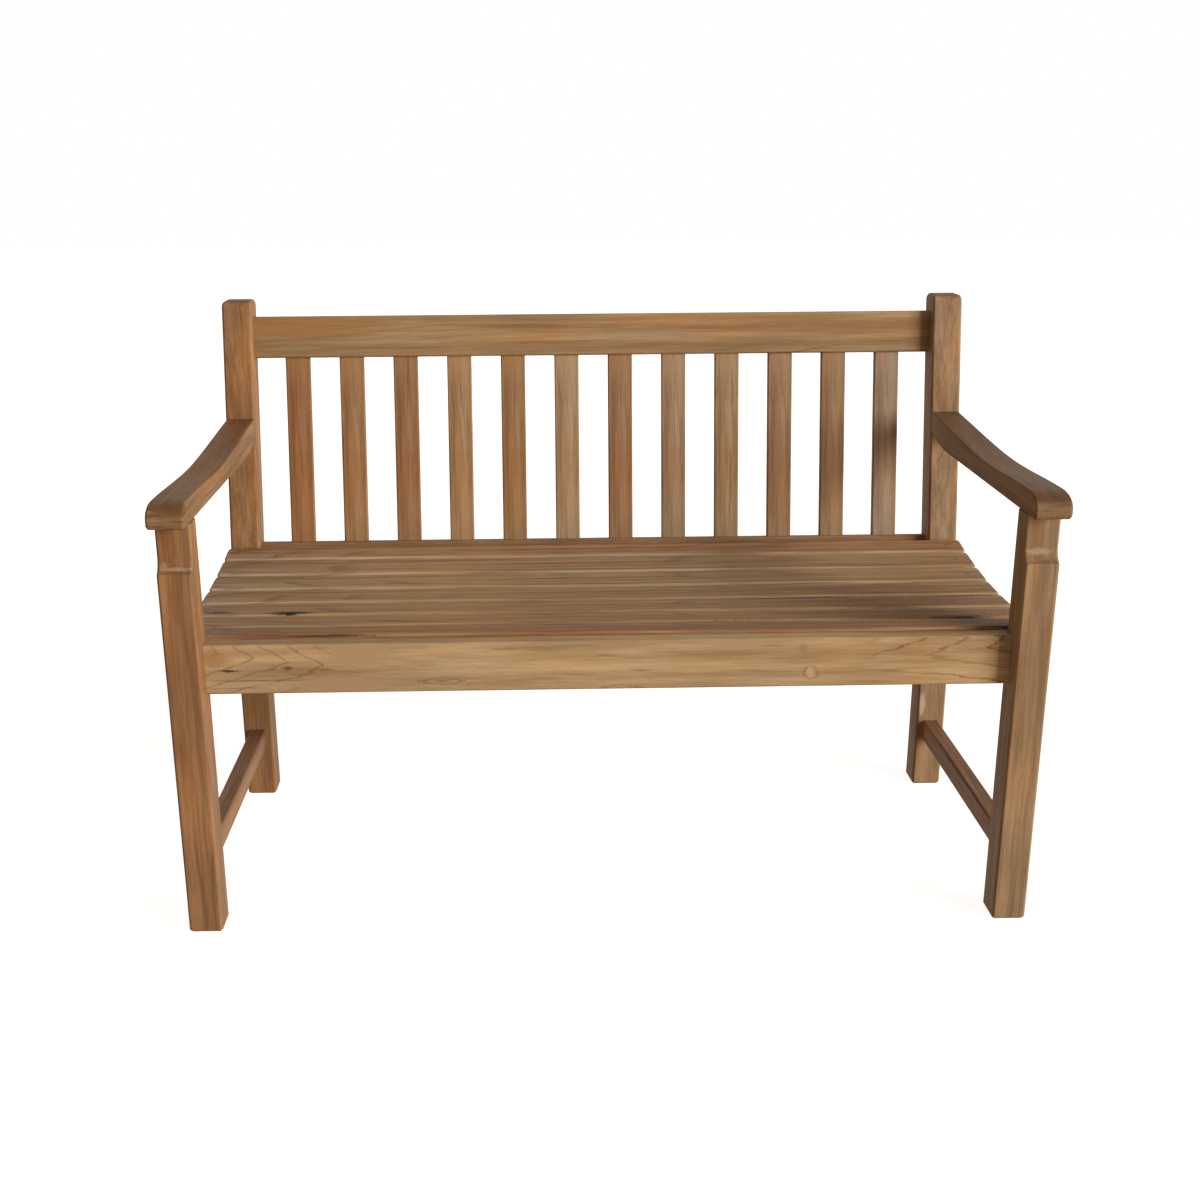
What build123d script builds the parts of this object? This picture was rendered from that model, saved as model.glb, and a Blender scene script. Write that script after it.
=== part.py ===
from build123d import *
from collections import namedtuple
from math import asin, cos, radians, sin, sqrt, tan
import os

# Overall sizes of the bench. X runs along the seat, Y from front to back, and Z up.
bench_width = 1270            # over the outer faces of the legs
bench_height = 880            # floor to the tops of the back posts
leg_section = 50              # legs and back posts are square
side_span = 439               # clear distance from a front leg to the post behind it
leg_arris = 3                 # flat on the long edges of legs and posts
rail_arris = 2                # the same on rails and stretchers
foot_chamfer = 4

# Back posts, upright to the bend and raked above it
rake_angle = 10.4             # degrees
post_bend_drop = 52           # from the top of the seat's back edge down to the bend
bend_radius = 120
post_top_round = 12           # over the front and rear edges of the top
post_side_round = 8           # over its side edges

# Front legs, stepped back below the arm
neck_recess = 12
cove_bottom_height = 565
cove_rise = 21

# Top rail and lower back rail, let in between the posts
back_rail_setback = 22        # from the posts' front faces to the rails' front faces
back_rail_thickness = 25
top_rail_height = 70
top_rail_drop = 28            # from the tops of the posts to its top front edge
lower_rail_height = 55
lower_rail_rise = 1           # from the top of the seat's back edge up to its top front edge

# Back slats
back_slat_count = 12
back_slat_width = 42
back_slat_thickness = 12
back_slat_arris = 1.5
back_slat_tenon_width = 34
back_slat_tenon_thickness = 9
back_slat_tenon_length = 14

# Front apron, flush with the backs of the front legs
apron_thickness = 26
apron_height = 75
apron_drop = 4                # from the top of the foremost seat slat to its own top

# Dished seat, measured on the tops of the seat slats
seat_front_height = 455
seat_back_rise = 12           # from the front edge of the seat to its back edge
seat_dip = 17                 # depth of the dish below a straight edge laid across it
seat_front_gap = 5            # from the front legs to the foremost slat
seat_back_gap = 5             # from the top of the rearmost slat to the posts, level with its underside

# Seat slats. The rearmost one is as wide as the room that the others leave.
wide_slat_width = 57.5
last_slat_least_width = 20
slat_gap = 8
seat_slat_thickness = 18
seat_slat_overhang = 2        # beyond the outer faces of the legs
seat_slat_corner = 6
seat_slat_arris = 2.5
seat_slat_lower_arris = 1

# Seat rails at the sides and the bearer in the middle, with dished top edges
seat_rail_thickness = 25

# Side stretchers, in the middle of the legs' width
stretcher_thickness = 27
stretcher_height = 35
stretcher_bottom = 92

# Armrests
arm_inner_inset = 1           # from the inner face of the leg
arm_outer_overhang = 3        # beyond the outer face of the front leg, none at the post
arm_nose_overhang = 22        # in front of the leg
arm_nose_band = 14            # height below the roll of its upright front
arm_nose_round = 7            # under the front edge
arm_crest_setback = 14        # from the front face of the leg to the top of the roll
arm_underside = 634
arm_crest = 669.5
arm_trough = 664.5            # lowest point of the scooped top
arm_back_top = 684            # top of the arm where it meets the post
arm_back_slope = 3.5          # degrees
arm_back_thickness = 33
arm_arris = 3                 # on the outer edges
arm_inner_arris = 1.5
arm_trough_share = 0.36       # place of the trough between the roll and the post
arm_sweep_share = 0.81        # where the underside starts to sweep up, from nose to post

# Tenons and mortises, square as a hollow chisel cuts them
tenon_thickness = 10
tenon_shoulder = 9            # above and below the tenon
rail_tenon_length = 20
rail_tenon_shift = 2          # outwards from the middle of a seat rail, clear of the apron's tenon
apron_tenon_length = 18
back_rail_tenon_length = 26
bearer_tenon_length = 14
arm_tenon_width = 32
arm_tenon_thickness = 12
arm_tenon_length = 22
leg_tenon_width = 28
leg_tenon_thickness = 14
leg_tenon_length = 20
joint_clearance = 0.1         # on each side of a tenon
mortise_spare = 1             # beyond the end of a tenon

# Pegs through the tenons
round_sides = 8               # pegs, plugs, screws and their holes are drawn with this many flats
peg_diameter = 8
peg_spacing = 26              # between the two pegs of the top rail
peg_clearance = 0.05
peg_reach = 2                 # past the far side of the tenon
apron_peg_inset = 8           # from the inner face of the leg

# Seat screws and the wood plugs over them
plug_diameter = 10
plug_depth = 7
plug_clearance = 0.05
screw_head_diameter = 8
screw_head_height = 2.5
screw_diameter = 4
screw_length = 32             # below its head
screw_clearance = 0.3         # around the shank in the slat
pilot_clearance = 0.05        # around the shank in the rail

# Places worked out from the sizes
seat_back_height = seat_front_height + seat_back_rise
bend_height = seat_back_height - post_bend_drop
top_rail_top = bench_height - top_rail_drop
lower_rail_top = seat_back_height + lower_rail_rise
apron_top = seat_front_height - apron_drop
seat_rail_bottom = apron_top - apron_height
half_width = bench_width / 2
leg_inner = half_width - leg_section
leg_middle = half_width - leg_section / 2
rake = radians(rake_angle)
rear_bend_height = bend_height - leg_section * tan(rake / 2)
post_round_height = bench_height - post_top_round
post_back_reach = (
    side_span + 2 * leg_section
    + (post_round_height - rear_bend_height) * tan(rake)
    - post_top_round * (1 / cos(rake) - 1)
)
leg_front = (arm_nose_overhang - post_back_reach) / 2
leg_back = leg_front + leg_section
post_front = leg_back + side_span
post_back = post_front + leg_section

# Seat curve, an arc from the front edge of the foremost slat to the back edge of the rearmost one
seat_start_y = leg_back + seat_front_gap
slat_meets_post = seat_back_height - seat_slat_thickness
seat_end_y = post_front + (slat_meets_post - bend_height) * tan(rake) - seat_back_gap
seat_chord = sqrt((seat_end_y - seat_start_y) ** 2 + (seat_back_height - seat_front_height) ** 2)
seat_tilt = asin((seat_back_height - seat_front_height) / seat_chord)
seat_radius = (seat_chord**2 / 4 + seat_dip**2) / (2 * seat_dip)
seat_half_angle = asin(seat_chord / 2 / seat_radius)
seat_centre_y = (seat_start_y + seat_end_y) / 2 - (seat_radius - seat_dip) * sin(seat_tilt)
seat_centre_z = (seat_front_height + seat_back_height) / 2 + (seat_radius - seat_dip) * cos(seat_tilt)
rail_radius = seat_radius + seat_slat_thickness
slat_pitch = wide_slat_width + slat_gap
seat_arc = 2 * seat_half_angle * seat_radius
wide_slat_count = int((seat_arc - last_slat_least_width) / slat_pitch)
last_slat_width = seat_arc - wide_slat_count * slat_pitch
slat_widths = [wide_slat_width] * wide_slat_count + [last_slat_width]
screw_depth = plug_depth + screw_head_height + screw_length
screw_places = [(-leg_middle, 0), (0, 0), (leg_middle, 0)]

# Joint: plane on the shoulder, pointing into the mortise. Lead: how far the tenon starts behind it.
Joint = namedtuple("Joint", "plane tall thick length lead")
Peg = namedtuple("Peg", "plane depth")

os.makedirs("parts", exist_ok=True)


def save(part, name):
    """Labels a finished piece and writes it."""
    part.label = name
    export_step(part, f"parts/{name}.step")


def side_name(side, piece):
    """Name of a piece on one side of the bench."""
    return ("left_" if side < 0 else "right_") + piece


# Lines and planes of the raked back and of the dished seat
def raked_y(height, back=0):
    """Y of a plane parallel to the raked fronts of the posts, a distance behind them."""
    return post_front + (height - bend_height) * tan(rake) + back / cos(rake)


def back_plane(back):
    """Plane parallel to the raked fronts of the posts, with local Y up the rake."""
    fronts = Plane(origin=(0, post_front, bend_height), x_dir=(1, 0, 0), z_dir=(0, -cos(rake), sin(rake)))
    return fronts.offset(-back)


def up_rake(height, back):
    """Distance up the rake from the bend to a height, on a plane behind the posts' fronts."""
    return (height - bend_height + back * sin(rake)) / cos(rake)


def board_section(plane, thickness, height, arris):
    """Section of a board about the middle of a plane, with flats on its four arrises."""
    with BuildSketch(plane) as section:
        Rectangle(thickness, height)
        chamfer(section.vertices(), arris)
    return section.sketch


def back_rail_section(height, top):
    """Section of a rail of the raked back, with its front top edge at a height."""
    across = Plane(
        origin=(0, post_front, bend_height), x_dir=(0, cos(rake), -sin(rake)), z_dir=(1, 0, 0)
    )
    middle = (back_rail_setback + back_rail_thickness / 2, up_rake(top, back_rail_setback) - height / 2, 0)
    across.origin = across.from_local_coords(Vector(*middle))
    return board_section(across, back_rail_thickness, height, rail_arris)


def seat_height(y, radius):
    """Height at y of an arc about the centre of the seat curve."""
    return seat_centre_z - sqrt(radius**2 - (y - seat_centre_y) ** 2)


def slat_plane(index):
    """Top face of a seat slat, whose lower edges rest on the dished rails."""
    width = slat_widths[index]
    angle = seat_tilt - seat_half_angle + (index * slat_pitch + width / 2) / seat_radius
    reach = sqrt(rail_radius**2 - width**2 / 4) - seat_slat_thickness
    origin = (0, seat_centre_y + reach * sin(angle), seat_centre_z - reach * cos(angle))
    return Plane(origin=origin, x_dir=(1, 0, 0), z_dir=(0, -sin(angle), cos(angle)))


# Joints of the side frames, side -1 on the left and 1 on the right
def seat_rail_joint(side, front):
    """Seat rail into the back of the front leg, or into the front of the post across its bend."""
    y = leg_back if front else post_front
    top = seat_height(y, rail_radius)
    plane = Plane(
        origin=(side * (leg_middle + rail_tenon_shift), y, (top + seat_rail_bottom) / 2),
        x_dir=(0, 0, 1),
        z_dir=(0, -1 if front else 1, 0),
    )
    return Joint(plane, top - seat_rail_bottom - 2 * tenon_shoulder, tenon_thickness, rail_tenon_length, 0)


def stretcher_joint(side, front):
    """Side stretcher into the back of the front leg, or into the front of the post."""
    plane = Plane(
        origin=(
            side * leg_middle,
            leg_back if front else post_front,
            stretcher_bottom + stretcher_height / 2,
        ),
        x_dir=(0, 0, 1),
        z_dir=(0, -1 if front else 1, 0),
    )
    return Joint(plane, stretcher_height - 2 * tenon_shoulder, tenon_thickness, rail_tenon_length, 0)


def leg_top_joint(side):
    """Top of the front leg into the underside of the arm."""
    plane = Plane(
        origin=(side * leg_middle, (leg_front + neck_recess + leg_back) / 2, arm_underside),
        x_dir=(1, 0, 0),
        z_dir=(0, 0, 1),
    )
    return Joint(plane, leg_tenon_width, leg_tenon_thickness, leg_tenon_length, 0)


def arm_back_joint(side):
    """Back end of the arm into the raked front of the post."""
    height = arm_back_top - arm_back_thickness / 2
    plane = Plane(
        origin=(side * (leg_inner + arm_inner_inset + half_width) / 2, raked_y(height), height),
        x_dir=(1, 0, 0),
        z_dir=(0, 1, 0),
    )
    lead = arm_tenon_thickness * tan(rake)
    return Joint(plane, arm_tenon_width, arm_tenon_thickness, arm_tenon_length, lead)


# Joints of the long rails
def apron_joint(side):
    """Apron into the inner face of a front leg."""
    plane = Plane(
        origin=(side * leg_inner, leg_back - apron_thickness / 2, apron_top - apron_height / 2),
        x_dir=(0, 0, 1),
        z_dir=(side, 0, 0),
    )
    return Joint(plane, apron_height - 2 * tenon_shoulder, tenon_thickness, apron_tenon_length, 0)


def back_rail_joint(side, height, top):
    """Top rail or lower back rail into the inner face of a post."""
    middle_plane = back_plane(back_rail_setback + back_rail_thickness / 2)
    middle = up_rake(top, back_rail_setback) - height / 2
    plane = Plane(
        origin=middle_plane.from_local_coords(Vector(side * leg_inner, middle, 0)),
        x_dir=(0, sin(rake), cos(rake)),
        z_dir=(side, 0, 0),
    )
    return Joint(plane, height - 2 * tenon_shoulder, tenon_thickness, back_rail_tenon_length, 0)


def bearer_joint(front):
    """Seat bearer into the back of the apron, or into the raked front of the lower back rail."""
    if front:
        y = leg_back
        top = seat_height(y, rail_radius)
        bottom = seat_rail_bottom
        lead = 0
    else:
        top = seat_height(raked_y(bend_height, back_rail_setback), rail_radius)
        bottom = lower_rail_top - lower_rail_height * cos(rake)
        y = raked_y((top + bottom) / 2, back_rail_setback)
        lead = (top - bottom) * tan(rake)
    plane = Plane(origin=(0, y, (top + bottom) / 2), x_dir=(0, 0, 1), z_dir=(0, -1 if front else 1, 0))
    return Joint(plane, top - bottom - 2 * tenon_shoulder, tenon_thickness, bearer_tenon_length, lead)


def back_slat_joint(index, upper):
    """Back slat into the lower edge of the top rail, or into the upper edge of the lower rail."""
    gap = (2 * leg_inner - back_slat_count * back_slat_width) / (back_slat_count + 1)
    x = -leg_inner + gap + back_slat_width / 2 + index * (gap + back_slat_width)
    if upper:
        along = up_rake(top_rail_top, back_rail_setback) - top_rail_height
    else:
        along = up_rake(lower_rail_top, back_rail_setback)
    middle_plane = back_plane(back_rail_setback + back_rail_thickness / 2)
    way = 1 if upper else -1
    plane = Plane(
        origin=middle_plane.from_local_coords(Vector(x, along, 0)),
        x_dir=(1, 0, 0),
        z_dir=(0, way * sin(rake), way * cos(rake)),
    )
    return Joint(plane, back_slat_tenon_width, back_slat_tenon_thickness, back_slat_tenon_length, 0)


def cut_mortise(joint):
    """Sinks the mortise of a joint into the piece that is being made."""
    with BuildSketch(joint.plane.offset(-joint.lead)) as outline:
        Rectangle(joint.tall, joint.thick)
    extrude(outline.sketch, amount=joint.lead + joint.length + mortise_spare, mode=Mode.SUBTRACT)


def add_tenon(joint):
    """Adds the tenon of a joint to the piece that is being made."""
    with BuildSketch(joint.plane.offset(-joint.lead)) as outline:
        Rectangle(joint.tall - 2 * joint_clearance, joint.thick - 2 * joint_clearance)
    extrude(outline.sketch, amount=joint.lead + joint.length)


# Pegs. Each plane lies on the face that the peg is driven from, and points into the wood.
def side_peg(joint, side):
    """Peg from the outer face of a leg or post through the middle of a tenon."""
    tenon_middle = joint.plane.offset(joint.length / 2).origin
    plane = Plane(
        origin=(side * half_width, tenon_middle.Y, tenon_middle.Z), x_dir=(0, 1, 0), z_dir=(-side, 0, 0)
    )
    return Peg(plane, half_width - abs(tenon_middle.X) + joint.thick / 2 + peg_reach)


def back_rail_pegs(side):
    """Pegs from the back of a post, two through the top rail's tenon and one through the lower one."""
    depth = leg_section - back_rail_setback - back_rail_thickness / 2 + tenon_thickness / 2 + peg_reach
    upper = up_rake(top_rail_top, back_rail_setback) - top_rail_height / 2
    lower = up_rake(lower_rail_top, back_rail_setback) - lower_rail_height / 2
    x = side * (leg_inner + back_rail_tenon_length / 2)
    pegs = []
    for along in (upper - peg_spacing / 2, upper + peg_spacing / 2, lower):
        origin = back_plane(leg_section).from_local_coords(Vector(x, along, 0))
        pegs.append(Peg(Plane(origin=origin, x_dir=(1, 0, 0), z_dir=(0, -cos(rake), sin(rake))), depth))
    return pegs


def apron_peg(side):
    """Peg from the back of a front leg through the apron's tenon."""
    origin = (side * (leg_inner + apron_peg_inset), leg_back, apron_top - apron_height / 2)
    plane = Plane(origin=origin, x_dir=(1, 0, 0), z_dir=(0, -1, 0))
    return Peg(plane, (apron_thickness + tenon_thickness) / 2 + peg_reach)


def cut_peg_hole(peg):
    """Bores the hole of a peg through the piece that is being made."""
    with BuildSketch(peg.plane) as outline:
        RegularPolygon(peg_diameter / 2, round_sides)
    extrude(outline.sketch, amount=peg.depth, mode=Mode.SUBTRACT)


def add_peg(peg):
    """Adds a peg, flush with the face that it is driven from."""
    with BuildSketch(peg.plane) as outline:
        RegularPolygon(peg_diameter / 2 - peg_clearance, round_sides)
    extrude(outline.sketch, amount=peg.depth - peg_clearance)


def side_pegs(side):
    """The pegs of one side frame: seat rail and stretcher, front and back."""
    joints = [joint(side, front) for joint in (seat_rail_joint, stretcher_joint) for front in (True, False)]
    return [side_peg(joint, side) for joint in joints]


# Front legs: square up to the cove, then narrower up to the arm
for side in (-1, 1):
    with BuildPart() as front_leg:
        with BuildSketch(Plane.YZ.offset(side * leg_middle)) as profile:
            with BuildLine():
                neck_foot = (leg_front + neck_recess, cove_bottom_height + cove_rise)
                TangentArc(neck_foot, (leg_front, cove_bottom_height), tangent=(0, -1))
                Polyline(
                    (leg_front, cove_bottom_height),
                    (leg_front, 0),
                    (leg_back, 0),
                    (leg_back, arm_underside),
                    (leg_front + neck_recess, arm_underside),
                    neck_foot,
                )
            make_face()
        extrude(amount=leg_section / 2, both=True)
        flanks = front_leg.faces().filter_by(Axis.X)
        levels = front_leg.faces().filter_by(Axis.Z)
        chamfer(flanks.edges() - levels.edges(), leg_arris)
        chamfer(front_leg.faces().sort_by(Axis.Z)[0].edges(), foot_chamfer)
        add_tenon(leg_top_joint(side))
        for joint in (seat_rail_joint(side, True), stretcher_joint(side, True), apron_joint(side)):
            cut_mortise(joint)
        for joint in (seat_rail_joint(side, True), stretcher_joint(side, True)):
            cut_peg_hole(side_peg(joint, side))
        cut_peg_hole(apron_peg(side))
    save(front_leg.part, side_name(side, "front_leg"))


def post_profile(plane):
    """Side outline of a back post."""
    with BuildSketch(plane) as profile:
        with BuildLine():
            Polyline(
                (post_front, 0),
                (post_front, bend_height),
                (raked_y(bench_height), bench_height),
                (post_back + (bench_height - rear_bend_height) * tan(rake), bench_height),
                (post_back, rear_bend_height),
                (post_back, 0),
                close=True,
            )
        make_face()
        corners = profile.vertices().sort_by(Axis.Y)
        fillet(corners[2:4], bend_radius)
        fillet(profile.vertices().sort_by(Axis.Y)[-2:], post_top_round)
    return profile.sketch


# Back posts, with a pillowed top
for side in (-1, 1):
    with BuildPart() as back_post:
        extrude(post_profile(Plane.YZ.offset(side * leg_middle)), amount=leg_section / 2, both=True)
        flanks = back_post.faces().filter_by(Axis.X)
        chamfer(flanks.edges() - back_post.faces().sort_by(Axis.Z)[0].edges(), leg_arris)
        with BuildSketch(Plane.XZ.offset(-post_front)) as front_view:
            with Locations((side * leg_middle, bench_height / 2)):
                Rectangle(leg_section, bench_height)
            fillet(front_view.vertices().sort_by(Axis.Y)[-2:], post_side_round)
        extrude(amount=-post_back_reach, mode=Mode.INTERSECT)
        chamfer(back_post.faces().sort_by(Axis.Z)[0].edges(), foot_chamfer)
        for joint in (
            seat_rail_joint(side, False),
            stretcher_joint(side, False),
            back_rail_joint(side, top_rail_height, top_rail_top),
            back_rail_joint(side, lower_rail_height, lower_rail_top),
            arm_back_joint(side),
        ):
            cut_mortise(joint)
        for joint in (seat_rail_joint(side, False), stretcher_joint(side, False)):
            cut_peg_hole(side_peg(joint, side))
        for peg in back_rail_pegs(side):
            cut_peg_hole(peg)
    save(back_post.part, side_name(side, "back_post"))

# Top rail and lower back rail
for name, height, top, upper in (
    ("top_rail", top_rail_height, top_rail_top, True),
    ("lower_back_rail", lower_rail_height, lower_rail_top, False),
):
    with BuildPart() as back_rail:
        extrude(back_rail_section(height, top), amount=leg_inner, both=True)
        for index in range(back_slat_count):
            cut_mortise(back_slat_joint(index, upper))
        if not upper:
            cut_mortise(bearer_joint(False))
        for side in (-1, 1):
            add_tenon(back_rail_joint(side, height, top))
            for peg in back_rail_pegs(side):
                cut_peg_hole(peg)
    save(back_rail.part, name)

# Back slats
for index in range(back_slat_count):
    foot = back_slat_joint(index, False).plane
    head = back_slat_joint(index, True).plane
    with BuildPart() as back_slat:
        across = Plane(origin=foot.origin, x_dir=(1, 0, 0), z_dir=head.z_dir)
        section = board_section(across, back_slat_width, back_slat_thickness, back_slat_arris)
        extrude(section, amount=(head.origin - foot.origin).length)
        add_tenon(back_slat_joint(index, False))
        add_tenon(back_slat_joint(index, True))
    save(back_slat.part, f"back_slat_{index + 1:02}")

# Front apron
with BuildPart() as apron:
    apron_middle = Vector(0, leg_back - apron_thickness / 2, apron_top - apron_height / 2)
    across = Plane(origin=apron_middle, x_dir=(0, 1, 0), z_dir=(1, 0, 0))
    extrude(board_section(across, apron_thickness, apron_height, rail_arris), amount=leg_inner, both=True)
    cut_mortise(bearer_joint(True))
    for side in (-1, 1):
        add_tenon(apron_joint(side))
        cut_peg_hole(apron_peg(side))
save(apron.part, "front_apron")


def dished_board(x, far):
    """Board under the seat slats from the front legs' backs to far, its top edge on the rail arc."""
    middle = (leg_back + far) / 2
    with BuildSketch(Plane.YZ.offset(x)) as outline:
        with BuildLine():
            ThreePointArc(*[(y, seat_height(y, rail_radius)) for y in (leg_back, middle, far)])
            Polyline(
                (far, seat_height(far, rail_radius)),
                (far, seat_rail_bottom),
                (leg_back, seat_rail_bottom),
                (leg_back, seat_height(leg_back, rail_radius)),
            )
        make_face()
    extrude(outline.sketch, amount=seat_rail_thickness / 2, both=True)


def cut_screw_pilots(x):
    """Bores the pilot holes of the seat screws at x, square to each slat."""
    for index in range(len(slat_widths)):
        with BuildSketch(slat_plane(index)) as outline:
            with Locations((x, 0)):
                RegularPolygon(screw_diameter / 2 + pilot_clearance, round_sides)
        extrude(outline.sketch, amount=-screw_depth - mortise_spare, mode=Mode.SUBTRACT)


# Seat rails at the sides, fitted to the bend of the posts
for side in (-1, 1):
    with BuildPart() as seat_rail:
        dished_board(side * leg_middle, post_front + leg_section / 2)
        extrude(post_profile(Plane.YZ), amount=half_width, both=True, mode=Mode.SUBTRACT)
        for front in (True, False):
            joint = seat_rail_joint(side, front)
            add_tenon(joint)
            cut_peg_hole(side_peg(joint, side))
        cut_screw_pilots(side * leg_middle)
    save(seat_rail.part, side_name(side, "seat_rail"))

# Seat bearer in the middle, cut to the rake of the lower back rail
with BuildPart() as bearer:
    dished_board(0, post_back)
    split(bisect_by=back_plane(back_rail_setback), keep=Keep.TOP)
    for front in (True, False):
        add_tenon(bearer_joint(front))
    cut_screw_pilots(0)
save(bearer.part, "centre_seat_bearer")

# Seat slats, with stepped holes for the screws and their plugs
for index, width in enumerate(slat_widths):
    with BuildPart() as seat_slat:
        with BuildSketch(slat_plane(index)):
            RectangleRounded(bench_width + 2 * seat_slat_overhang, width, seat_slat_corner)
        extrude(amount=-seat_slat_thickness)
        upper_face = seat_slat.faces().sort_by(Axis.Z)[-1]
        lower_face = seat_slat.faces().sort_by(Axis.Z)[0]
        chamfer(upper_face.edges(), seat_slat_arris)
        chamfer(lower_face.edges(), seat_slat_lower_arris)
        for radius, depth in (
            (plug_diameter / 2, plug_depth + screw_head_height),
            (screw_diameter / 2 + screw_clearance, seat_slat_thickness),
        ):
            with BuildSketch(slat_plane(index)) as hole:
                with Locations(*screw_places):
                    RegularPolygon(radius, round_sides)
            extrude(hole.sketch, amount=-depth, mode=Mode.SUBTRACT)
    save(seat_slat.part, f"seat_slat_{index + 1:02}")

# Side stretchers
for side in (-1, 1):
    with BuildPart() as stretcher:
        across = Plane(origin=stretcher_joint(side, True).plane.origin, x_dir=(1, 0, 0), z_dir=(0, 1, 0))
        section = board_section(across, stretcher_thickness, stretcher_height, rail_arris)
        extrude(section, amount=side_span)
        for front in (True, False):
            joint = stretcher_joint(side, front)
            add_tenon(joint)
            cut_peg_hole(side_peg(joint, side))
    save(stretcher.part, side_name(side, "side_stretcher"))

# Armrests: scooped on top, rolled at the nose, and swept up underneath to the raked post
nose = leg_front - arm_nose_overhang
crest = leg_front + arm_crest_setback
arm_back_bottom = arm_back_top - arm_back_thickness
trough = crest + arm_trough_share * (raked_y(arm_back_top) - crest)
sweep = nose + arm_sweep_share * (raked_y(arm_back_bottom) - nose)
band_top = arm_underside + arm_nose_band
for side in (-1, 1):
    with BuildPart() as arm:
        with BuildSketch(Plane.YZ) as side_view:
            with BuildLine():
                EllipticalCenterArc(
                    (crest, band_top), crest - nose, arm_crest - band_top, start_angle=90, arc_size=90
                )
                Spline(
                    (crest, arm_crest),
                    (trough, arm_trough),
                    (raked_y(arm_back_top), arm_back_top),
                    tangents=((1, 0), (cos(radians(arm_back_slope)), sin(radians(arm_back_slope)))),
                )
                Line((raked_y(arm_back_top), arm_back_top), (raked_y(arm_back_bottom), arm_back_bottom))
                TangentArc(
                    (sweep, arm_underside), (raked_y(arm_back_bottom), arm_back_bottom), tangent=(1, 0)
                )
                Polyline((sweep, arm_underside), (nose, arm_underside), (nose, band_top))
            make_face()
            fillet(side_view.vertices().group_by(Axis.Y)[0].sort_by(Axis.X)[0], arm_nose_round)
        extrude(amount=side * bench_width)
        with BuildSketch(Plane.XY.offset(arm_underside)) as plan:
            with BuildLine():
                Polyline(
                    (side * (leg_inner + arm_inner_inset), nose),
                    (side * (half_width + arm_outer_overhang), nose),
                    (side * half_width, raked_y(arm_back_top)),
                    (side * (leg_inner + arm_inner_inset), raked_y(arm_back_top)),
                    close=True,
                )
            make_face()
        extrude(amount=arm_back_top - arm_underside, mode=Mode.INTERSECT)
        for way, arris in ((-side, arm_inner_arris), (side, arm_arris)):
            flank = arm.faces().sort_by(Axis(origin=(0, 0, 0), direction=(way, 0, 0)))[-1]
            back_face = arm.faces().sort_by(Axis.Y)[-1]
            chamfer(flank.edges() - back_face.edges(), arris)
        cut_mortise(leg_top_joint(side))
        add_tenon(arm_back_joint(side))
    save(arm.part, side_name(side, "armrest"))

# Pegs that lock the tenons
peg_sets = [(side_name(side, "side_pegs"), side_pegs(side)) for side in (-1, 1)]
peg_sets.append(("back_rail_pegs", back_rail_pegs(-1) + back_rail_pegs(1)))
peg_sets.append(("apron_pegs", [apron_peg(-1), apron_peg(1)]))
for name, pegs in peg_sets:
    with BuildPart() as peg_set:
        for peg in pegs:
            add_peg(peg)
    save(peg_set.part, name)

# Seat screws, their heads at the bottom of the plug holes
with BuildPart() as screws:
    for index in range(len(slat_widths)):
        with BuildSketch(slat_plane(index).offset(-plug_depth)) as heads:
            with Locations(*screw_places):
                RegularPolygon(screw_head_diameter / 2, round_sides)
        extrude(heads.sketch, amount=-screw_head_height)
        with BuildSketch(slat_plane(index).offset(-plug_depth - screw_head_height)) as shanks:
            with Locations(*screw_places):
                RegularPolygon(screw_diameter / 2, round_sides)
        extrude(shanks.sketch, amount=-screw_length)
save(screws.part, "seat_screws")

# Wood plugs, flush with the slats
with BuildPart() as plugs:
    for index in range(len(slat_widths)):
        with BuildSketch(slat_plane(index)) as outline:
            with Locations(*screw_places):
                RegularPolygon(plug_diameter / 2 - plug_clearance, round_sides)
        extrude(outline.sketch, amount=-plug_depth)
save(plugs.part, "seat_plugs")
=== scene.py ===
from math import cos, pi, radians, sin

import bmesh
import bpy
from mathutils import Euler, Matrix, Vector


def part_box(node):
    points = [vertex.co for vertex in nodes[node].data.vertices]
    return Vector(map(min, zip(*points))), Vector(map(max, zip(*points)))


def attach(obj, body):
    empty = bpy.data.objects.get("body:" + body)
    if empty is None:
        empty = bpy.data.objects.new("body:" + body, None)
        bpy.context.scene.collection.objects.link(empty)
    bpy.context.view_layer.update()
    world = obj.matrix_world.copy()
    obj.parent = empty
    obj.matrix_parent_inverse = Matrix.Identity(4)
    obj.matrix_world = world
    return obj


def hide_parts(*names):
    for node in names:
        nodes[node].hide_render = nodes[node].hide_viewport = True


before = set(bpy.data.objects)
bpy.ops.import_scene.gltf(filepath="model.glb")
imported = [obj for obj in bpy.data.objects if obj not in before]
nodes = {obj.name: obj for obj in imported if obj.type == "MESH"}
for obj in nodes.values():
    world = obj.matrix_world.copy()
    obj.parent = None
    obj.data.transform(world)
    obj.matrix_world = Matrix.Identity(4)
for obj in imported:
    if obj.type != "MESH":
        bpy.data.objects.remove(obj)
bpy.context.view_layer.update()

# Front legs, sawn from 50 mm square teak, with a cove cut under the arm. Their tenons go up into
# the arms, and their backs and inner faces hold the mortises of the rails and the apron.
MM = 0.001
GRAIN_ALONG_X = (0, 0, 0)
GRAIN_ALONG_Y = (0, 0, -pi / 2)
GRAIN_ALONG_Z = (0, pi / 2, 0)


def linear(hex_colour):
    """Turns an sRGB hex colour into a linear one."""
    shares = [int(hex_colour[i:i + 2], 16) / 255 for i in (1, 3, 5)]
    return tuple(c / 12.92 if c <= 0.04045 else ((c + 0.055) / 1.055) ** 2.4 for c in shares) + (1.0,)


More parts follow.
